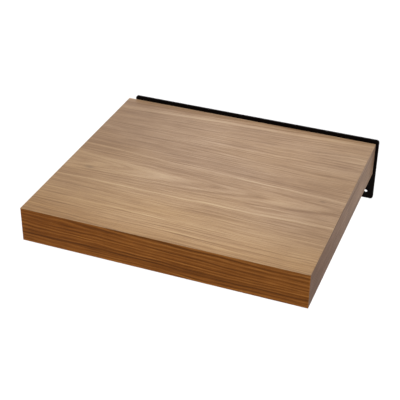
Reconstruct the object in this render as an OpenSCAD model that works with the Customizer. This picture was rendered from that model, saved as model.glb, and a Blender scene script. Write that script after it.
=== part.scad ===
// A wall shelf. A hollow, walnut-veneered board slides onto two square steel arms, which are
// welded to a black wall plate, and two screws from beneath lock it.
// +X is to the right, +Y points into the wall and +Z is up. The wall is the plane Y = 0.
// The origin is at the centre of the four corner holes of the wall plate, in the wall's plane,
// and the underside of the board is at Z = 0.

/* [Board] */
// Width of the board from side to side
board_w = 400; // [380:5:600]
// Depth of the board from its front face to the wall plate
board_d = 350; // [330:5:400]
// Thickness of the board
board_t = 51.5; // [48:0.5:60]
// How far the board is set sideways from the centre of the wall plate
board_shift = -8; // [-8:1:8]
// Thickness of the top and bottom panels under their veneer
panel_t = 9.5; // [7:0.5:10]
// Thickness of the walnut veneer
veneer_t = 0.6; // [0.6:0.1:1]
// Chamfer that eases the outer edges of the board
edge_ease = 0.5; // [0.2:0.1:0.5]
// Thickness of the rails round the inside of the board
rail_t = 20; // [16:1:24]
// Thickness of the ribs that guide the arms
rib_t = 15; // [12:1:18]

/* [Wall plate] */
// Width of the wall plate
plate_w = 393; // [360:1:600]
// Thickness of the wall plate
plate_t = 3; // [2:0.5:5]
// Height of the wall plate above the top of the board
plate_above = 6; // [2:1:20]
// Height of the wall plate below the underside of the board
plate_below = 43.5; // [42:0.5:80]
// Corner radius of the wall plate
plate_corner = 4; // [1:0.5:8]
// Diameter of the holes for the wall screws
wall_hole_d = 5.5; // [4:0.5:7]
// Distance from the outer holes to the side edges of the plate
hole_side_inset = 12; // [8:1:40]
// Height of the upper holes above the origin, and depth of the lower holes below it
hole_half_rise = 32; // [26:1:32]

/* [Arms] */
// Distance from the centre of the plate to each arm
arm_x = 110; // [90:5:120]
// Length of each arm in front of the plate
arm_len = 260; // [200:5:290]
// Width of each square tube
arm_w = 30; // [20:1:32]
// Wall thickness of each tube
arm_wall = 2; // [1.5:0.5:3]
// Outer corner radius of each tube
arm_corner = 3; // [2:0.5:4]
// Gap between the top of each arm and the top panel
arm_clear = 1.3; // [0.4:0.1:1.5]
// Leg length of the weld beads round the root of each arm
weld_leg = 3; // [2:0.5:4]

/* [Locking screws] */
// Distance from the wall plate to the locking screws
lock_reach = 60; // [40:5:120]
// Diameter of the locking screws
lock_d = 6; // [5:1:8]
// Length of the locking screws under their heads
lock_len = 20; // [18:1:30]
// Diameter of the washers under the heads
washer_d = 25; // [20:1:30]
// Thickness of the washers
washer_t = 1.5; // [1:0.5:2.5]

/* [Hidden] */
$fn = 64;
// A hair of overlap between shapes that join, and how far a cutter runs past what it cuts
eps = 0.01;
over = 1;

// Colours
walnut = [0.52, 0.38, 0.26];
walnut_dark = [0.42, 0.27, 0.16];
fibreboard = [0.62, 0.48, 0.34];
pine = [0.84, 0.70, 0.48];
kraft = [0.70, 0.58, 0.42];
powder_black = [0.06, 0.06, 0.06];
zinc = [0.72, 0.73, 0.72];
weld_black = [0.12, 0.12, 0.12];
nylon_black = [0.10, 0.10, 0.10];
beech = [0.88, 0.76, 0.56];

// Levels and edges of the board
rear_y = -plate_t;
front_y = rear_y - board_d;
inner_low = veneer_t + panel_t;
inner_high = board_t - veneer_t - panel_t;
inner_h = inner_high - inner_low;
core_w = board_w - 2 * veneer_t;
rail_front_y = front_y + veneer_t;
rail_back_y = rail_front_y + rail_t;
left_x = board_shift - board_w / 2;
right_x = board_shift + board_w / 2;

// Arms and the sideways play that the board has on them
arm_h = inner_h - arm_clear;
arm_z = inner_low + arm_h / 2;
side_play = 8;
bead_gap = 1;
channel_w = arm_w + 2 * (side_play + weld_leg + bead_gap);
rib_offset = channel_w / 2 + rib_t / 2;
lock_y = rear_y - lock_reach;

// Wall holes, and the pockets that clear the heads of the upper wall screws
hole_x = plate_w / 2 - hole_side_inset;
head_pocket_h = 13;
head_pocket_w = head_pocket_h + 2 * side_play;
head_pocket_round = 6;
head_pocket_depth = 6;
head_pocket_skin = 1;

// End plugs of the tubes
cap_head_t = 2.5;
cap_plug_len = 12;
cap_plug_wall = 2.5;
cap_plug_round = 1;
cap_fit = 0.2;

// Rivet nuts in the lower walls of the tubes
nut_body_d = 9;
nut_len = 13;
nut_flange_d = 11;
nut_flange_t = 0.8;
nut_bulb_h = 3;
nut_bulb_out = 1.2;
nut_bulb_slope = 1;
nut_recess = 1.2;
nut_recess_gap = 0.5;
thread_gap = 0.05;

// Heads and tips of the locking screws, and the long holes that they pass through
head_d = 10.5;
head_h = 3.3;
head_edge = 1.2;
tip_edge = 1;
socket_d = 4.6;
socket_depth = 2;
washer_gap = 0.2;
lock_hole_w = lock_d + 1;
lock_hole_len = lock_hole_w + 2 * side_play;

// Dowels that join the rails and ribs to the front rail
dowel_d = 8;
dowel_len = 40;
dowel_in_front_rail = 14;
dowel_rise = 8;

// Paper honeycomb: cell width across flats, wall thickness and the gap at its borders
cell = 24;
cell_wall = 0.9;
core_gap = 0.5;

// ---------- shared shapes ----------

// A rectangle w by h about the origin with true arcs of radius r at its corners
module rounded_rect(w, h, r) {
    square([w - 2 * r, h], center = true);
    square([w, h - 2 * r], center = true);
    for (sx = [-1, 1], sy = [-1, 1])
        translate([sx * (w / 2 - r), sy * (h / 2 - r)])
            circle(r);
}

// Draws a shape of the XZ plane and extrudes it by depth from y towards the front
module forward(y, depth) {
    translate([0, y, 0])
        rotate([90, 0, 0])
            linear_extrude(depth)
                children();
}

// A box between two opposite corners
module span(low, high) {
    translate(low)
        cube(high - low);
}

// A slot of width w and length len along X, cut upwards from z by depth
module slot_up(x, y, z, w, len, depth) {
    for (end = [-1, 1])
        translate([x + end * (len - w) / 2, y, z])
            cylinder(d = w, h = depth);
    translate([x - (len - w) / 2, y - w / 2, z])
        cube([len - w, w, depth]);
}

// The whole board as one solid with every outer edge chamfered
module eased_board() {
    intersection() {
        translate([0, front_y - over, 0])
            rotate([-90, 0, 0])
                linear_extrude(board_d + over)
                    polygon(chamfered(left_x, right_x, -board_t, 0));
        translate([left_x - over, 0, 0])
            rotate([90, 0, 90])
                linear_extrude(board_w + 2 * over)
                    polygon(chamfered(front_y, rear_y, 0, board_t));
        translate([0, 0, -over])
            linear_extrude(board_t + 2 * over)
                polygon(chamfered(left_x, right_x, front_y, rear_y));
    }
}

// Corners of a rectangle from (x0, y0) to (x1, y1) with its corners cut by edge_ease
function chamfered(x0, x1, y0, y1) = let (e = edge_ease) [
    [x0 + e, y0], [x1 - e, y0], [x1, y0 + e], [x1, y1 - e],
    [x1 - e, y1], [x0 + e, y1], [x0, y1 - e], [x0, y0 + e]
];

// ---------- bracket ----------

module wall_plate() {
    plate_h = plate_above + board_t + plate_below;
    plate_mid = (plate_above + board_t - plate_below) / 2;
    color(powder_black)
        forward(0, plate_t)
            difference() {
                translate([0, plate_mid])
                    rounded_rect(plate_w, plate_h, plate_corner);
                for (x = [-hole_x, 0, hole_x], z = [-hole_half_rise, hole_half_rise])
                    translate([x, z])
                        circle(d = wall_hole_d);
            }
}

// A square tube with a hole for its rivet nut in the lower wall
module arm(x) {
    color(powder_black)
        difference() {
            translate([x, 0, arm_z])
                forward(rear_y, arm_len)
                    difference() {
                        rounded_rect(arm_w, arm_h, arm_corner);
                        rounded_rect(arm_w - 2 * arm_wall, arm_h - 2 * arm_wall, arm_corner - arm_wall / 2);
                    }
            translate([x, lock_y, inner_low - over])
                cylinder(d = nut_body_d, h = arm_wall + 2 * over);
        }
}

module left_arm() {
    arm(-arm_x);
}

module right_arm() {
    arm(arm_x);
}

// One straight fillet bead of length len along X, with its legs on the plate and on the tube above
module weld_bead(len) {
    translate([-len / 2, rear_y, 0])
        rotate([90, 0, 90])
            linear_extrude(len)
                polygon([[0, 0], [-weld_leg, 0], [0, weld_leg]]);
}

// Beads along both sides of the root of each arm, between the tube's rounded corners
module arm_welds() {
    bead = arm_h - 2 * arm_corner;
    color(weld_black)
        for (x = [-arm_x, arm_x], side = [-1, 1])
            translate([x, 0, arm_z])
                rotate([0, side * 90, 0])
                    translate([0, 0, arm_w / 2])
                        weld_bead(bead);
}

// A plug with a flat head that closes the open front end of a tube
module arm_cap(x) {
    plug_w = arm_w - 2 * arm_wall - 2 * cap_fit;
    plug_h = arm_h - 2 * arm_wall - 2 * cap_fit;
    end_y = rear_y - arm_len;
    color(nylon_black)
        translate([x, 0, arm_z]) {
            forward(end_y, cap_head_t)
                rounded_rect(arm_w, arm_h, arm_corner);
            forward(end_y + cap_plug_len, cap_plug_len + eps)
                difference() {
                    rounded_rect(plug_w, plug_h, arm_corner - arm_wall / 2);
                    rounded_rect(plug_w - 2 * cap_plug_wall, plug_h - 2 * cap_plug_wall, cap_plug_round);
                }
        }
}

module left_arm_cap() {
    arm_cap(-arm_x);
}

module right_arm_cap() {
    arm_cap(arm_x);
}

// Blind rivet nuts: a flange under the wall of the tube and a bulb above it
module rivet_nuts() {
    bore_r = lock_d / 2 + thread_gap;
    body_r = nut_body_d / 2;
    bulb_r = body_r + nut_bulb_out;
    bulb_low = arm_wall;
    bulb_high = bulb_low + nut_bulb_h;
    color(zinc)
        for (x = [-arm_x, arm_x])
            translate([x, lock_y, inner_low])
                rotate_extrude()
                    polygon([
                        [bore_r, -nut_flange_t], [nut_flange_d / 2, -nut_flange_t], [nut_flange_d / 2, 0],
                        [body_r, 0], [body_r, bulb_low], [bulb_r, bulb_low],
                        [bulb_r, bulb_high - nut_bulb_slope], [body_r, bulb_high],
                        [body_r, nut_len], [bore_r, nut_len]
                    ]);
}

// Round-head screws with a hexagon socket, driven from beneath
module lock_screws() {
    color(zinc)
        for (x = [-arm_x, arm_x])
            translate([x, lock_y, -washer_t])
                difference() {
                    rotate_extrude()
                        polygon([
                            [0, -head_h], [head_d / 2 - head_edge, -head_h],
                            [head_d / 2, head_edge - head_h], [head_d / 2, 0],
                            [lock_d / 2, 0], [lock_d / 2, lock_len - tip_edge],
                            [lock_d / 2 - tip_edge, lock_len], [0, lock_len]
                        ]);
                    translate([0, 0, -head_h - eps])
                        cylinder(d = socket_d, h = socket_depth, $fn = 6);
                }
}

module lock_washers() {
    color(zinc)
        for (x = [-arm_x, arm_x])
            translate([x, lock_y, -washer_t])
                difference() {
                    cylinder(d = washer_d, h = washer_t);
                    translate([0, 0, -eps])
                        cylinder(d = lock_d + 2 * washer_gap, h = washer_t + 2 * eps);
                }
}

// ---------- board ----------

module panel(z) {
    span([left_x + veneer_t, rail_front_y, z], [right_x - veneer_t, rear_y, z + panel_t]);
}

module top_panel() {
    color(fibreboard)
        panel(inner_high);
}

// Has a long hole over each locking screw, and a recess over it for the flange of the rivet nut
module bottom_panel() {
    recess_w = nut_flange_d + 2 * nut_recess_gap;
    color(fibreboard)
        difference() {
            panel(veneer_t);
            for (x = [-arm_x, arm_x]) {
                slot_up(x + board_shift, lock_y, 0, lock_hole_w, lock_hole_len, inner_low + over);
                slot_up(x + board_shift, lock_y, inner_low - nut_recess,
                    recess_w, recess_w + 2 * side_play, nut_recess + over);
            }
        }
}

// Where the dowels lie: at two heights in each side rail and at mid-height in each rib
side_rail_x = [left_x + veneer_t + rail_t / 2, right_x - veneer_t - rail_t / 2];
rib_x = [for (a = [-arm_x, arm_x], s = [-1, 1]) board_shift + a + s * rib_offset];
mid_z = (inner_low + inner_high) / 2;
dowel_places = concat(
    [for (x = side_rail_x, dz = [-dowel_rise, dowel_rise]) [x, mid_z + dz]],
    [for (x = rib_x) [x, mid_z]]
);

// Every dowel, or the bores that hold them
module dowel_rods() {
    for (p = dowel_places)
        translate([p[0], rail_back_y + dowel_len - dowel_in_front_rail, p[1]])
            rotate([90, 0, 0])
                cylinder(d = dowel_d, h = dowel_len);
}

module frame_dowels() {
    color(beech)
        dowel_rods();
}

module front_rail() {
    color(pine)
        difference() {
            span([left_x + veneer_t, rail_front_y, inner_low], [right_x - veneer_t, rail_back_y, inner_high]);
            dowel_rods();
        }
}

// Slots in the back of the board that clear the heads of the upper wall screws
module head_pockets() {
    skin_x = veneer_t + head_pocket_skin;
    intersection() {
        for (x = [-hole_x, 0, hole_x])
            translate([x + board_shift, 0, hole_half_rise])
                forward(rear_y + eps, head_pocket_depth)
                    rounded_rect(head_pocket_w, head_pocket_h, head_pocket_round);
        span([left_x + skin_x, front_y, 0], [right_x - skin_x, 0, board_t]);
    }
}

// An upright bar from the front rail to the back of the board, centred at x
module lengthwise_bar(x, w) {
    color(pine)
        difference() {
            span([x - w / 2, rail_back_y, inner_low], [x + w / 2, rear_y, inner_high]);
            dowel_rods();
            head_pockets();
        }
}

module left_rail() {
    lengthwise_bar(side_rail_x[0], rail_t);
}

module right_rail() {
    lengthwise_bar(side_rail_x[1], rail_t);
}

module rib_left_outer() {
    lengthwise_bar(rib_x[0], rib_t);
}

module rib_left_inner() {
    lengthwise_bar(rib_x[1], rib_t);
}

module rib_right_inner() {
    lengthwise_bar(rib_x[2], rib_t);
}

module rib_right_outer() {
    lengthwise_bar(rib_x[3], rib_t);
}

module rear_rail(x0, x1) {
    color(pine)
        difference() {
            span([x0, rear_y - rail_t, inner_low], [x1, rear_y, inner_high]);
            head_pockets();
        }
}

module rear_rail_left() {
    rear_rail(side_rail_x[0] + rail_t / 2, rib_x[0] - rib_t / 2);
}

module rear_rail_middle() {
    rear_rail(rib_x[1] + rib_t / 2, rib_x[2] - rib_t / 2);
}

module rear_rail_right() {
    rear_rail(rib_x[3] + rib_t / 2, side_rail_x[1] - rail_t / 2);
}

// A honeycomb w wide and d deep with its lower left corner at the origin, cut square at its borders
module honeycomb(w, d) {
    pitch_x = cell + cell_wall;
    pitch_y = pitch_x * sin(60);
    columns = ceil(w / pitch_x / 2);
    rows = ceil(d / pitch_y / 2);
    difference() {
        square([w, d]);
        for (j = [-rows : rows], i = [-columns : columns])
            translate([w / 2 + (i + abs(j % 2) / 2) * pitch_x, d / 2 + j * pitch_y])
                rotate(30)
                    circle(d = cell / cos(30), $fn = 6);
    }
}

// Sheets of paper honeycomb in the three bays between the rails and ribs
module paper_core() {
    bays = [
        [side_rail_x[0] + rail_t / 2, rib_x[0] - rib_t / 2],
        [rib_x[1] + rib_t / 2, rib_x[2] - rib_t / 2],
        [rib_x[3] + rib_t / 2, side_rail_x[1] - rail_t / 2]
    ];
    bay_d = rear_y - rail_t - rail_back_y;
    color(kraft)
        for (bay = bays)
            translate([bay[0] + core_gap, rail_back_y + core_gap, inner_low])
                linear_extrude(inner_h)
                    honeycomb(bay[1] - bay[0] - 2 * core_gap, bay_d - 2 * core_gap);
}

// The part of the eased board between two corners
module skin(low, high, tone) {
    color(tone)
        intersection() {
            eased_board();
            span(low, high);
        }
}

module top_veneer() {
    skin([left_x, front_y, board_t - veneer_t], [right_x, rear_y, board_t], walnut);
}

module front_veneer() {
    skin([left_x, front_y, veneer_t], [right_x, rail_front_y, board_t - veneer_t], walnut_dark);
}

module left_veneer() {
    skin([left_x, rail_front_y, veneer_t], [left_x + veneer_t, rear_y, board_t - veneer_t], walnut_dark);
}

module right_veneer() {
    skin([right_x - veneer_t, rail_front_y, veneer_t], [right_x, rear_y, board_t - veneer_t], walnut_dark);
}

module bottom_veneer() {
    difference() {
        skin([left_x, front_y, 0], [right_x, rear_y, veneer_t], walnut_dark);
        color(walnut_dark)
            for (x = [-arm_x, arm_x])
                slot_up(x + board_shift, lock_y, -over, lock_hole_w, lock_hole_len, veneer_t + 2 * over);
    }
}

wall_plate();
left_arm();
right_arm();
arm_welds();
left_arm_cap();
right_arm_cap();
rivet_nuts();
lock_screws();
lock_washers();
top_panel();
bottom_panel();
front_rail();
left_rail();
right_rail();
rear_rail_left();
rear_rail_middle();
rear_rail_right();
rib_left_outer();
rib_left_inner();
rib_right_inner();
rib_right_outer();
frame_dowels();
paper_core();
top_veneer();
front_veneer();
left_veneer();
right_veneer();
bottom_veneer();
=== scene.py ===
import math

import bmesh
import bpy
from mathutils import Matrix, Vector


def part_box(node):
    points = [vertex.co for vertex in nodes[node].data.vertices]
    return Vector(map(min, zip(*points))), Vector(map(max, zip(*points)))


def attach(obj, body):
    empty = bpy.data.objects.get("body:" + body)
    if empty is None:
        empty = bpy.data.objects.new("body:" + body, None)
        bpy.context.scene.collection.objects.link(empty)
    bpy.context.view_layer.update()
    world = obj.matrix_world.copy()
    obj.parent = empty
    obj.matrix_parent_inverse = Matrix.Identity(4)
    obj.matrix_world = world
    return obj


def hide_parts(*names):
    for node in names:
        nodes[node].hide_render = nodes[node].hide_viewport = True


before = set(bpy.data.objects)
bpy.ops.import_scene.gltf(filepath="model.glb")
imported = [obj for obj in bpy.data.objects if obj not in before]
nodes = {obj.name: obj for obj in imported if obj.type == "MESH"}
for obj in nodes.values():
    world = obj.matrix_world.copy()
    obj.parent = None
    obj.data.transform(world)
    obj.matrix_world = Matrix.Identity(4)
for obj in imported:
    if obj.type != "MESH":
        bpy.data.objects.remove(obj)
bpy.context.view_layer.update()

MM = 0.001

# ---------------------------------------------------------------- places, from the frame

top_low, top_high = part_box("top_veneer")
bottom_low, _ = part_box("bottom_veneer")
plate_low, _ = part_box("wall_plate")
board_low = Vector((top_low.x, top_low.y, bottom_low.z))
board_high = top_high.copy()
board_centre = (board_low + board_high) / 2
board_left = board_low.x / MM
board_back = board_high.y / MM
board_top = board_high.z / MM

# ---------------------------------------------------------------- node helpers


def material(name):
    """An empty node material, and its tree."""
    made = bpy.data.materials.new(name)
    made.use_nodes = True
    made.node_tree.nodes.clear()
    return made, made.node_tree


def add(tree, kind, inputs=None, output=0, **settings):
    """Adds a node, fills its inputs with values or links, and returns one of its outputs."""
    made = tree.nodes.new(kind)
    for key, value in settings.items():
        setattr(made, key, value)
    for key, value in (inputs or {}).items():
        if isinstance(value, bpy.types.NodeSocket):
            tree.links.new(value, made.inputs[key])
        else:
            made.inputs[key].default_value = value
    return made.outputs[output] if made.outputs else None


def calc(tree, operation, a, b=0.0):
    return add(tree, "ShaderNodeMath", {0: a, 1: b}, operation=operation)


def plus(tree, a, b):
    return calc(tree, "ADD", a, b)


def minus(tree, a, b):
    return calc(tree, "SUBTRACT", a, b)


def times(tree, a, b):
    return calc(tree, "MULTIPLY", a, b)


def remap(tree, value, low, high, to_low=0.0, to_high=1.0):
    """Maps low..high to to_low..to_high, smoothly and within those ends."""
    inputs = {"Value": value, 1: low, 2: high, 3: to_low, 4: to_high}
    return add(tree, "ShaderNodeMapRange", inputs, interpolation_type="SMOOTHSTEP")


def vector(tree, x, y, z=0.0):
    return add(tree, "ShaderNodeCombineXYZ", {0: x, 1: y, 2: z})


def separate(tree, value):
    """The X, Y and Z of a vector, by name."""
    made = tree.nodes.new("ShaderNodeSeparateXYZ")
    tree.links.new(value, made.inputs[0])
    return dict(zip("xyz", made.outputs))


def noise(tree, place, detail=2.0, roughness=0.5, scale=1.0):
    """Noise from about 0 to 1, with 0.5 as its middle."""
    inputs = {"Vector": place, "Scale": scale, "Detail": detail, "Roughness": roughness}
    return add(tree, "ShaderNodeTexNoise", inputs)


def centred(tree, value, share):
    """Noise moved to have 0 as its middle, and made share wide."""
    return times(tree, minus(tree, value, 0.5), share)


def blend_colours(tree, factor, a, b, blend="MIX"):
    """Blends colour b over colour a. A mix node keeps its colours in inputs 6 and 7 and output 2."""
    inputs = {0: factor, 6: a, 7: b}
    return add(tree, "ShaderNodeMix", inputs, output=2, data_type="RGBA", blend_type=blend, clamp_factor=True)


def ramp(tree, factor, stops):
    """A colour ramp from (position, (r, g, b)) stops."""
    made = tree.nodes.new("ShaderNodeValToRGB")
    tree.links.new(factor, made.inputs[0])
    elements = made.color_ramp.elements
    while len(elements) < len(stops):
        elements.new(0.5)
    for element, (position, colour) in zip(elements, stops):
        element.position = position
        element.color = (*colour, 1.0)
    return made.outputs[0]


def bump(tree, height, strength, distance):
    return add(tree, "ShaderNodeBump", {"Height": height, "Strength": strength, "Distance": distance})


def surface(tree, **inputs):
    """A Principled surface with these inputs, joined to the material's output."""
    shader = add(tree, "ShaderNodeBsdfPrincipled", {k.replace("_", " "): v for k, v in inputs.items()})
    add(tree, "ShaderNodeOutputMaterial", {"Surface": shader})


def object_place(tree):
    """The point's place in the row frame, in metres: the object output of the coordinate node."""
    return add(tree, "ShaderNodeTexCoord", output=3)


def millimetres(tree):
    """The point's X, Y and Z in the row frame, by name, in millimetres."""
    inputs = {0: object_place(tree), "Scale": 1 / MM}
    return separate(tree, add(tree, "ShaderNodeVectorMath", inputs, operation="SCALE"))


# ---------------------------------------------------------------- walnut

# The colours of each leaf of veneer from dark to light, and the tones at which they lie. The top, front and
# side leaves are one walnut: the top's and side's leaves hold a painted sheen that makes them paler and
# greyer, and the front's leaf holds painted shade that makes it darker and more orange.
TOP_LEAF_WITH_SHEEN = ((0.156, 0.084, 0.040), (0.236, 0.140, 0.072), (0.299, 0.190, 0.104), (0.392, 0.274, 0.158))
EDGE_LEAF_IN_SHADE = ((0.088, 0.026, 0.002), (0.168, 0.051, 0.005), (0.242, 0.083, 0.013), (0.370, 0.150, 0.026))
SIDE_LEAF_WITH_SHEEN = ((0.150, 0.082, 0.044), (0.228, 0.139, 0.081), (0.308, 0.196, 0.121), (0.440, 0.295, 0.199))
UNDER_LEAF = ((0.095, 0.044, 0.018), (0.140, 0.071, 0.033), (0.182, 0.098, 0.049), (0.250, 0.145, 0.080))
LEAF_TONES = (0.10, 0.40, 0.62, 1.0)

# What the colour is multiplied by where the wood is greyer, more golden or flecked.
GREYER = (0.97, 1.0, 1.13)
MORE_GOLDEN = (1.03, 0.98, 0.80)
FLECK = (0.45, 0.45, 0.50)
# A pore's colour as a share of the leaf's darkest, and how much of the wood's own colour it hides.
PORE_SHADE = 0.6
PORE_COVER = 0.45

# How the grain sways from side to side: (scale along, scale across, seed, detail, width in mm).
SWAYS = ((0.006, 0.012, 0.0, 1.5, 9.0), (0.030, 0.050, 1.7, 2.0, 2.4))
# The square of the cut's height over the middle of the log where u is 0, and the least that it may be
# anywhere, in mm2.
START_HEIGHT_SQUARED = 60.0
LEAST_HEIGHT_SQUARED = 1.0
# How much the regular rings wander, in radians, and how much the fibres show in the tone.
COMB_SWAY = 10.0
FIBRE_SHARE = 0.50
# How far the golden wood's start moves in v, in mm for each mm of u.
LATER = 0.25
# The edges are paler, from wear and a painted highlight, most up to the first distance from the arris and not
# at all past the second, in mm.
EDGE_WEAR_AND_HIGHLIGHT_FULL = 0.2
EDGE_WEAR_AND_HIGHLIGHT_GONE = 1.1
# Height of the relief of the pores, and the share of it that the fibres take.
RELIEF_HEIGHT = 0.05 * MM
FIBRE_HEIGHT = 0.35


def field(tree, u, v, scales, seed, detail, roughness=0.55):
    """Noise over u and v, its scales in features per mm. Each seed gives another pattern."""
    place = vector(tree, times(tree, u, scales[0]), times(tree, v, scales[1]), seed)
    return noise(tree, place, detail=detail, roughness=roughness)


def arris(tree, place):
    """How far the point is from the nearest outer edge of the board, in mm."""
    gaps = []
    for axis, low, high in zip("xyz", board_low, board_high):
        to_low = minus(tree, place[axis], low / MM)
        to_high = minus(tree, high / MM, place[axis])
        gaps.append(calc(tree, "MINIMUM", to_low, to_high))
    near = calc(tree, "MINIMUM", gaps[0], gaps[1])
    far = calc(tree, "MAXIMUM", gaps[0], gaps[1])
    return calc(tree, "MAXIMUM", near, calc(tree, "MINIMUM", far, gaps[2]))


def place_in_log(tree, u, v, seed, heart, taper, slope, bends):
    """How far the point is to the side of the heart line, and its distance from the middle of the log,
    which gives arches near the heart line and straight lines away from it."""
    drift = slope
    for low, high, change in bends:
        drift = plus(tree, remap(tree, v, low, high, 0.0, change), drift)
    side = minus(tree, v, times(tree, u, drift))
    for along, across, offset, detail, width in SWAYS:
        sway = field(tree, u, v, (along, across), seed + offset, detail)
        side = plus(tree, side, centred(tree, sway, width))
    side = minus(tree, side, heart)
    height_squared = plus(tree, times(tree, u, taper), START_HEIGHT_SQUARED)
    height_squared = calc(tree, "MAXIMUM", height_squared, LEAST_HEIGHT_SQUARED)
    return side, calc(tree, "SQRT", plus(tree, times(tree, side, side), height_squared))


def wood_tone(tree, u, v, seed, side, radius, rings, comb, mix, fibres, figure):
    """The tone of the wood, from 0 for dark to 1 for light."""
    signed_radius = times(tree, radius, calc(tree, "SIGN", side))
    zones = field(tree, u, v, (0.0040, 0.014), seed + 60.7, 2.0)
    broad_rings = field(tree, u, radius, (0.0020, 0.060), seed + 3.1, 2.0)
    fine_rings = field(tree, u, radius, (0.0050, 0.34), seed + 7.7, 3.0, 0.65)
    streaks = field(tree, u, side, (0.016, 0.95), seed + 12.3, 3.0, 0.6)
    dark_lines = remap(tree, field(tree, u, side, (0.011, 0.55), seed + 88.1, 2.0), 0.36, 0.50, -0.3, 0.7)

    spacing, strength = comb
    comb_sway = centred(tree, field(tree, u, v, (0.010, 0.060), seed + 95.3, 2.0), COMB_SWAY)
    phase = plus(tree, times(tree, signed_radius, math.tau / spacing), comb_sway)
    tone = plus(tree, centred(tree, fibres, FIBRE_SHARE), 0.5)
    tone = plus(tree, tone, times(tree, calc(tree, "SINE", phase), strength))
    for layer, share in zip((zones, broad_rings, fine_rings, streaks, figure, dark_lines), mix):
        tone = plus(tree, tone, centred(tree, layer, share))
    for ring, half, change in rings:
        away = calc(tree, "ABSOLUTE", minus(tree, signed_radius, ring))
        tone = plus(tree, tone, remap(tree, away, 0.0, half, change, 0.0))
    return tone


def tinted(tree, colour, u, v, seed, golden, shades, flecks, fibres):
    """The colour of the wood with its greyer and more golden parts, its shades, some of which are painted
    light, and its flecks.
    """
    late = minus(tree, v, times(tree, u, LATER))
    patches = centred(tree, field(tree, u, v, (0.0045, 0.016), seed + 71.3, 2.0), 0.7)
    warmth = plus(tree, patches, remap(tree, late, *golden, 0.15, 0.9))
    tint = ramp(tree, warmth, [(0.1, GREYER), (0.9, MORE_GOLDEN)])
    colour = blend_colours(tree, 1.0, colour, tint, blend="MULTIPLY")
    for axis, low, high, shade in shades:
        amount = remap(tree, {"u": u, "v": v}[axis], low, high, 1.0, 0.0)
        colour = blend_colours(tree, amount, colour, (*shade, 1.0), blend="MULTIPLY")
    # A fleck is twice as long as it is wide.
    for fleck_u, fleck_v, half in flecks:
        ends = {0: vector(tree, times(tree, u, 0.5), v), 1: (fleck_u * 0.5, fleck_v, 0.0)}
        away = add(tree, "ShaderNodeVectorMath", ends, output=1, operation="DISTANCE")
        amount = times(tree, remap(tree, away, 0.0, half, 1.0, 0.0), fibres)
        colour = blend_colours(tree, amount, colour, (*FLECK, 1.0), blend="MULTIPLY")
    return colour


def walnut(name, along, across, origin, heart, taper, slope, bends, rings, comb, golden, shades,
           leaf, mix, seed, polish, flecks=()):
    """Walnut veneer, with all lengths in mm.

    along, across: the row axes that run with the grain and across it, which are u and v below
    origin: the places on those axes where u and v start
    heart: the v of the line over the middle of the log
    taper: how fast the square of the cut's height over that line grows along u, which makes arches
    slope: the grain's drift in v for each mm of u
    bends: (from v, to v, change) where the slope changes
    rings: (radius, half width, change of tone) of single growth rings. The radius is below 0 on the side
        of the heart line with the lower v, and the change above 0 where the ring is lighter than the rest
    comb: the (spacing, strength) of the regular rings
    golden: the wood turns golden from the first v to the second, at a u of 0
    shades: ("u" or "v", from, to, tint), with the tint full at the first place and gone at the second. Some
    shades are painted light
    leaf: the colours from dark to light, which for the top, front and side hold a painted sheen or painted
    shade
    mix: the shares of the zones, broad rings, fine rings, streaks, figure and dark lines
    polish: the specular level
    flecks: the (u, v, half width) of small dark flecks"""
    made, tree = material(name)
    place = millimetres(tree)
    u = minus(tree, place[along], origin[0])
    v = minus(tree, origin[1], place[across])
    figure = field(tree, u, v, (0.040, 0.018), seed + 31.3, 2.0)
    fibres = field(tree, u, v, (0.060, 3.6), seed + 21.9, 2.0)
    pores = remap(tree, field(tree, u, v, (0.16, 2.6), seed + 44.1, 1.0), 0.64, 0.74)

    side, radius = place_in_log(tree, u, v, seed, heart, taper, slope, bends)
    tone = wood_tone(tree, u, v, seed, side, radius, rings, comb, mix, fibres, figure)
    colour = ramp(tree, tone, list(zip(LEAF_TONES, leaf)))
    colour = tinted(tree, colour, u, v, seed, golden, shades, flecks, fibres)
    darkest, lightest = leaf[0], leaf[-1]
    pore_colour = (*(PORE_SHADE * part for part in darkest), 1.0)
    colour = blend_colours(tree, times(tree, pores, PORE_COVER), colour, pore_colour)
    # Near the arrises the colour turns towards the leaf's lightest: part wear, part a painted highlight along
    # the edges.
    wear_and_highlight = times(tree, remap(tree, arris(tree, place), EDGE_WEAR_AND_HIGHLIGHT_FULL, EDGE_WEAR_AND_HIGHLIGHT_GONE, 1.0, 0.0),
                 remap(tree, figure, 0.3, 0.7, 0.15, 0.5))
    colour = blend_colours(tree, wear_and_highlight, colour, (*lightest, 1.0))

    gloss = plus(tree, centred(tree, fibres, 0.16), 0.40)
    gloss = plus(tree, gloss, times(tree, pores, 0.12))
    relief = minus(tree, times(tree, fibres, FIBRE_HEIGHT), pores)
    surface(tree, Base_Color=colour, Roughness=gloss, Specular_IOR_Level=polish,
            Normal=bump(tree, relief, 0.35, RELIEF_HEIGHT))
    return made


# ---------------------------------------------------------------- other materials

# The colours of each raw material from dark to light.
ZINC = ((0.52, 0.53, 0.54), (0.74, 0.74, 0.71))
FIBREBOARD = ((0.20, 0.12, 0.065), (0.36, 0.24, 0.14))
PINE = ((0.36, 0.22, 0.09), (0.62, 0.43, 0.22))
BEECH = ((0.38, 0.20, 0.10), (0.58, 0.36, 0.20))
KRAFT = ((0.26, 0.16, 0.085), (0.42, 0.28, 0.16))
# The red, green and blue of the powder coat's patches, for a grey of 1.
DEEP_BLACK = (1.2, 0.7, 0.6)
SOFT_BLACK = (1.7, 1.1, 0.95)


def stretched(tree, place, x=1.0, y=1.0, z=1.0):
    """The point with its coordinates multiplied by x, y and z, for noise that is longer one way."""
    return vector(tree, *(times(tree, place[axis], scale) for axis, scale in zip("xyz", (x, y, z))))


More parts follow.
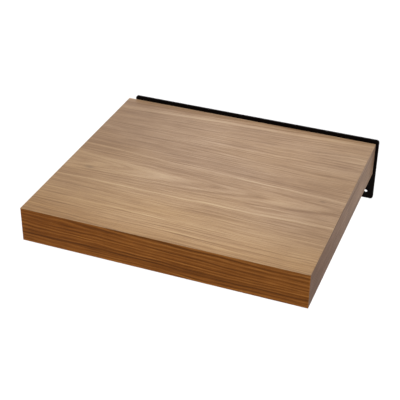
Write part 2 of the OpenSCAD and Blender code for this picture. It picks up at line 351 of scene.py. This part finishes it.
def powder_coat(name, grey, roughness):
    """Black powder coat: a fine orange peel with a slight unevenness of gloss."""
    made, tree = material(name)
    point = stretched(tree, millimetres(tree))
    peel = noise(tree, point, detail=2.0, scale=1.4)
    patches = noise(tree, point, detail=2.0, scale=0.03)
    deep, soft = ([grey * part for part in black] for black in (DEEP_BLACK, SOFT_BLACK))
    colour = ramp(tree, patches, [(0.3, deep), (0.7, soft)])
    gloss = plus(tree, times(tree, patches, 0.12), roughness - 0.06)
    surface(tree, Base_Color=colour, Roughness=gloss, Specular_IOR_Level=0.02,
            Normal=bump(tree, peel, 0.25, 0.03 * MM))
    return made


def zinc(name):
    """Bright zinc plate with faint turning marks and clouding."""
    made, tree = material(name)
    place = millimetres(tree)
    cloud = noise(tree, stretched(tree, place), detail=3.0, scale=0.35)
    scratches = noise(tree, stretched(tree, place, x=0.4, y=6.0), detail=2.0)
    colour = ramp(tree, cloud, list(zip((0.25, 0.75), ZINC)))
    gloss = plus(tree, times(tree, scratches, 0.25), 0.18)
    surface(tree, Base_Color=colour, Metallic=1.0, Roughness=gloss,
            Normal=bump(tree, scratches, 0.15, 0.02 * MM))
    return made


def moulded_plastic(name, grey):
    """Plastic with a fine moulded texture."""
    made, tree = material(name)
    grain = noise(tree, stretched(tree, millimetres(tree)), detail=3.0, scale=2.2)
    colour = ramp(tree, grain, [(0.3, (grey * 0.8,) * 3), (0.7, (grey * 1.2,) * 3)])
    surface(tree, Base_Color=colour, Roughness=plus(tree, times(tree, grain, 0.2), 0.45),
            Normal=bump(tree, grain, 0.3, 0.04 * MM))
    return made


def fibreboard(name):
    """Raw fibreboard: pale brown with fine flecks."""
    made, tree = material(name)
    fleck = noise(tree, stretched(tree, millimetres(tree)), detail=4.0, roughness=0.7, scale=1.8)
    colour = ramp(tree, fleck, list(zip((0.3, 0.7), FIBREBOARD)))
    surface(tree, Base_Color=colour, Roughness=plus(tree, times(tree, fleck, 0.1), 0.8),
            Normal=bump(tree, fleck, 0.4, 0.08 * MM))
    return made


def plain_wood(name, along, colours):
    """A planed softwood or hardwood bar with its grain along one row axis."""
    made, tree = material(name)
    scales = {axis: (0.012 if axis == along else 0.5) for axis in "xyz"}
    point = stretched(tree, millimetres(tree), **scales)
    rings = noise(tree, point, detail=3.0, roughness=0.6)
    fibres = noise(tree, point, detail=2.0, scale=6.0)
    tone = plus(tree, times(tree, rings, 0.8), times(tree, fibres, 0.2))
    colour = ramp(tree, tone, list(zip((0.35, 0.65), colours)))
    surface(tree, Base_Color=colour, Roughness=plus(tree, times(tree, fibres, 0.15), 0.55),
            Normal=bump(tree, fibres, 0.3, 0.06 * MM))
    return made


def kraft(name):
    """Unbleached paper with upright fibres."""
    made, tree = material(name)
    point = stretched(tree, millimetres(tree), z=0.3)
    fibre = noise(tree, point, detail=4.0, roughness=0.7, scale=1.1)
    colour = ramp(tree, fibre, list(zip((0.3, 0.7), KRAFT)))
    surface(tree, Base_Color=colour, Roughness=plus(tree, times(tree, fibre, 0.1), 0.8),
            Normal=bump(tree, fibre, 0.3, 0.05 * MM))
    return made


# ---------------------------------------------------------------- a look for each CAD node

# The top, front and side walnuts are one wood lit in different ways: their leaves hold a painted sheen or
# painted shade, and the top and side have a paler strip of painted light along their rear edges by the wall
# plate.
top_walnut = walnut(
    "walnut_top", "x", "y", (board_left, board_back), heart=203.0, taper=3.2,
    slope=-0.055, bends=[(30, 115, 0.070), (120, 203, -0.012), (205, 250, 0.025)],
    rings=[(-18.8, 1.2, -0.12), (18.8, 1.2, -0.12), (-22.9, 1.6, 0.12), (22.9, 1.6, 0.12),
           (-26.0, 1.4, -0.10), (26.0, 1.4, -0.10),
           (-30.9, 1.8, -0.16), (30.9, 1.8, -0.16), (-36.6, 1.5, -0.14), (36.6, 1.5, -0.14),
           (-46.8, 2.2, 0.34), (46.8, 2.4, 0.32), (-55.0, 4.0, -0.10),
           (-100.0, 2.5, -0.20), (-122.0, 2.2, -0.16), (-174.0, 7.0, 0.26), (-190.0, 6.0, -0.12),
           (0.0, 60.0, 0.26), (76.0, 24.0, 0.05), (97.0, 4.0, 0.14), (110.0, 40.0, 0.12),
           (109.0, 1.2, -0.22), (115.0, 1.4, -0.30), (124.0, 1.2, -0.22), (135.0, 1.4, -0.30),
           (143.0, 1.4, -0.25)],
    comb=(4.6, 0.05), golden=(60, 400),
    # The third shade is painted light: a paler strip along the rear edge that lifts the shade the wall plate
    # casts there. The first two darken the left and right ends.
    shades=[("u", 0, 190, (0.74, 0.69, 0.62)), ("u", 400, 290, (0.86, 0.83, 0.77)),
            ("v", 0, 6, (1.50, 1.55, 1.60)), ("v", 350, 280, (1.01, 0.985, 0.95))],
    leaf=TOP_LEAF_WITH_SHEEN, mix=(0.35, 0.25, 0.45, 1.05, 0.10, 0.16), seed=4.0, polish=0.10,
    flecks=[(369, 184, 3.5), (37, 219, 6.0)])
front_walnut = walnut(
    "walnut_front", "x", "z", (board_left, board_top), heart=-90.0, taper=1.5,
    slope=0.034, bends=[(20, 40, -0.024)], rings=[(126.0, 8.0, -0.18), (88.0, 3.5, -0.12)],
    comb=(5.6, 0.15), golden=(-140, 150), shades=[("u", 0, 160, (0.90, 0.88, 0.86))],
    leaf=EDGE_LEAF_IN_SHADE, mix=(0.20, 0.22, 0.60, 0.90, 0.18, 0.18), seed=17.0, polish=0.06)
side_walnut = walnut(
    "walnut_side", "y", "z", (board_back, board_top), heart=-150.0, taper=0.0,
    slope=0.01, bends=[], rings=[],
    comb=(5.6, 0.08), golden=(200, 500),
    # The second shade is painted light: a paler strip along the rear edge that lifts the shade the wall plate
    # casts there. The first darkens the side towards its front end.
    shades=[("u", -350, -10, (0.585, 0.49, 0.45)), ("u", 0, -8, (1.35, 1.40, 1.45))],
    leaf=SIDE_LEAF_WITH_SHEEN, mix=(0.25, 0.30, 0.90, 0.90, 0.25, 0.20), seed=29.0, polish=0.01)
under_walnut = walnut(
    "walnut_under", "x", "y", (board_left, board_back), heart=120.0, taper=2.4,
    slope=0.01, bends=[], rings=[(70.0, 2.0, 0.25), (-70.0, 2.0, 0.25)],
    comb=(5.0, 0.06), golden=(0, 350), shades=[("u", 0, 130, (0.92, 0.90, 0.88))],
    leaf=UNDER_LEAF, mix=(0.45, 0.25, 0.60, 0.80, 0.25, 0.16), seed=53.0, polish=0.15)
black_coat = powder_coat("powder_coat_black", grey=0.0026, roughness=0.45)
weld_coat = powder_coat("powder_coat_weld", grey=0.0035, roughness=0.5)
zinc_plate = zinc("zinc_plate")
black_nylon = moulded_plastic("black_nylon", grey=0.03)
raw_board = fibreboard("raw_fibreboard")
pine_x = plain_wood("pine_crosswise", "x", PINE)
pine_y = plain_wood("pine_lengthwise", "y", PINE)
beech = plain_wood("beech_dowel", "y", BEECH)
paper = kraft("kraft_paper")

LOOKS = {
    "wall_plate": black_coat, "left_arm": black_coat, "right_arm": black_coat, "arm_welds": weld_coat,
    "left_arm_cap": black_nylon, "right_arm_cap": black_nylon,
    "rivet_nuts": zinc_plate, "lock_screws": zinc_plate, "lock_washers": zinc_plate,
    "top_panel": raw_board, "bottom_panel": raw_board,
    "front_rail": pine_x, "rear_rail_left": pine_x, "rear_rail_middle": pine_x, "rear_rail_right": pine_x,
    "left_rail": pine_y, "right_rail": pine_y, "rib_left_outer": pine_y, "rib_left_inner": pine_y,
    "rib_right_inner": pine_y, "rib_right_outer": pine_y,
    "frame_dowels": beech, "paper_core": paper,
    "top_veneer": top_walnut, "front_veneer": front_walnut, "left_veneer": side_walnut,
    "right_veneer": side_walnut, "bottom_veneer": under_walnut,
}


def dress(obj, look):
    """Gives the object this look and no other."""
    obj.data.materials.clear()
    obj.data.materials.append(look)


for node_name, look in LOOKS.items():
    dress(nodes[node_name], look)


# ---------------------------------------------------------------- finer shapes for what shows

CREASE = math.radians(25)
FLAT = math.radians(1)
SAME_POINT = 0.002 * MM
EASE_STEPS = 3
VENEER_EASE = 0.18 * MM
PLATE_EASE = 0.5 * MM
SCREW_EASE = 0.25 * MM
WASHER_EASE = 0.2 * MM


def eased_mesh(mesh, name, ease):
    """A copy of the mesh with its sharp edges rounded by ease."""
    bm = bmesh.new()
    bm.from_mesh(mesh)
    bmesh.ops.remove_doubles(bm, verts=bm.verts, dist=SAME_POINT)
    bmesh.ops.dissolve_limit(bm, angle_limit=FLAT, verts=bm.verts, edges=bm.edges)
    sharp = [e for e in bm.edges if len(e.link_faces) == 2 and e.calc_face_angle(0) > CREASE]
    bmesh.ops.bevel(bm, geom=sharp, offset=ease, segments=EASE_STEPS, profile=0.5,
                    affect="EDGES", clamp_overlap=True)
    for face in bm.faces:
        face.smooth = True
    made = bpy.data.meshes.new(name)
    bm.to_mesh(made)
    bm.free()
    return made


def refined(node_name, name, ease):
    """A piece with eased edges that stands for a CAD node."""
    made = bpy.data.objects.new(name, eased_mesh(nodes[node_name].data, name, ease))
    bpy.context.scene.collection.objects.link(made)
    weighted = made.modifiers.new("even_shading", "WEIGHTED_NORMAL")
    weighted.keep_sharp = True
    dress(made, LOOKS[node_name])
    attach(made, "root")
    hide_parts(node_name)


for node_name, piece_name, ease in (
    ("top_veneer", "top_sheet", VENEER_EASE),
    ("front_veneer", "front_strip", VENEER_EASE),
    ("left_veneer", "left_strip", VENEER_EASE),
    ("right_veneer", "right_strip", VENEER_EASE),
    ("bottom_veneer", "bottom_sheet", VENEER_EASE),
    ("wall_plate", "steel_wall_plate", PLATE_EASE),
    ("lock_screws", "pan_screws", SCREW_EASE),
    ("lock_washers", "flat_washers", WASHER_EASE),
):
    refined(node_name, piece_name, ease)


# ---------------------------------------------------------------- floor, light and camera

FLOOR_DROP = 1.0
FLOOR_HALF = 25.0
FLOOR_GREYS = (0.66, 0.68)
WHITE = (1, 1, 1, 1)
SENSOR_WIDTH = 36
VIEW_AZIMUTH = 20.76
VIEW_ELEVATION = 32.45
AIM_FORWARD = 0.029


def direction(azimuth, elevation):
    """The unit vector towards a point that lies at these angles, in degrees, azimuth 0 being -Y."""
    a, e = math.radians(azimuth), math.radians(elevation)
    return Vector((math.sin(a) * math.cos(e), -math.cos(a) * math.cos(e), math.sin(e)))


def floor():
    """A pale floor well below the part, which sends soft light back up."""
    mesh = bpy.data.meshes.new("studio_floor")
    bm = bmesh.new()
    bmesh.ops.create_grid(bm, x_segments=2, y_segments=2, size=FLOOR_HALF)
    bm.to_mesh(mesh)
    bm.free()
    made = bpy.data.objects.new("studio_floor", mesh)
    made.location = (0, 0, plate_low.z - FLOOR_DROP)
    bpy.context.scene.collection.objects.link(made)
    look, tree = material("pale_floor")
    mottle = noise(tree, object_place(tree), detail=2.0, scale=1.5)
    dull, bright = ((grey,) * 3 for grey in FLOOR_GREYS)
    surface(tree, Base_Color=ramp(tree, mottle, [(0.3, dull), (0.7, bright)]), Roughness=0.9,
            Specular_IOR_Level=0.0)
    made.data.materials.append(look)


def room_light(horizon, zenith, backdrop, boxes):
    """Soft light from a dome that is brighter overhead, with softboxes in it, each (direction, half angle
    in degrees, strength). The camera sees an even white backdrop instead."""
    world = bpy.data.worlds.new("studio")
    bpy.context.scene.world = world
    world.use_nodes = True
    tree = world.node_tree
    tree.nodes.clear()
    towards = add(tree, "ShaderNodeTexCoord")
    strength = remap(tree, separate(tree, towards)["z"], 0.0, 1.0, horizon, zenith)
    for place, half, bright in boxes:
        facing = add(tree, "ShaderNodeVectorMath", {0: towards, 1: place}, output=1, operation="DOT_PRODUCT")
        edge = math.cos(math.radians(half * 1.25))
        core = math.cos(math.radians(half * 0.75))
        strength = plus(tree, strength, remap(tree, facing, edge, core, 0.0, bright))
    lit = add(tree, "ShaderNodeBackground", {"Color": WHITE, "Strength": strength})
    seen = add(tree, "ShaderNodeBackground", {"Color": WHITE, "Strength": backdrop})
    is_camera = add(tree, "ShaderNodeLightPath")
    mixed = add(tree, "ShaderNodeMixShader", {0: is_camera, 1: lit, 2: seen})
    add(tree, "ShaderNodeOutputWorld", {"Surface": mixed})


def camera(azimuth, elevation, roll, distance, aim, lens):
    """Looks at aim. Azimuth is to the right of straight on, elevation is above the horizon, in degrees."""
    back = direction(azimuth, elevation)
    data = bpy.data.cameras.new("photo_camera")
    data.sensor_width = SENSOR_WIDTH
    data.lens = lens
    made = bpy.data.objects.new("photo_camera", data)
    made.rotation_mode = "QUATERNION"
    turn = (-back).to_track_quat("-Z", "Y")
    made.rotation_quaternion = turn @ Matrix.Rotation(math.radians(roll), 4, "Z").to_quaternion()
    made.location = aim + back * distance
    bpy.context.scene.collection.objects.link(made)
    bpy.context.scene.camera = made


floor()
# One softbox is behind the board as the camera sees it, and one is high on its left.
room_light(horizon=0.25, zenith=1.6, backdrop=1.0, boxes=[
    (direction(VIEW_AZIMUTH + 180, 38), 25, 1.5),
    (direction(-70, 60), 30, 1.0),
])
camera(azimuth=VIEW_AZIMUTH, elevation=VIEW_ELEVATION, roll=0.73, distance=1.4226,
       aim=board_centre - Vector((0, AIM_FORWARD, 0)), lens=91.79)
bpy.context.scene.view_settings.view_transform = "Standard"
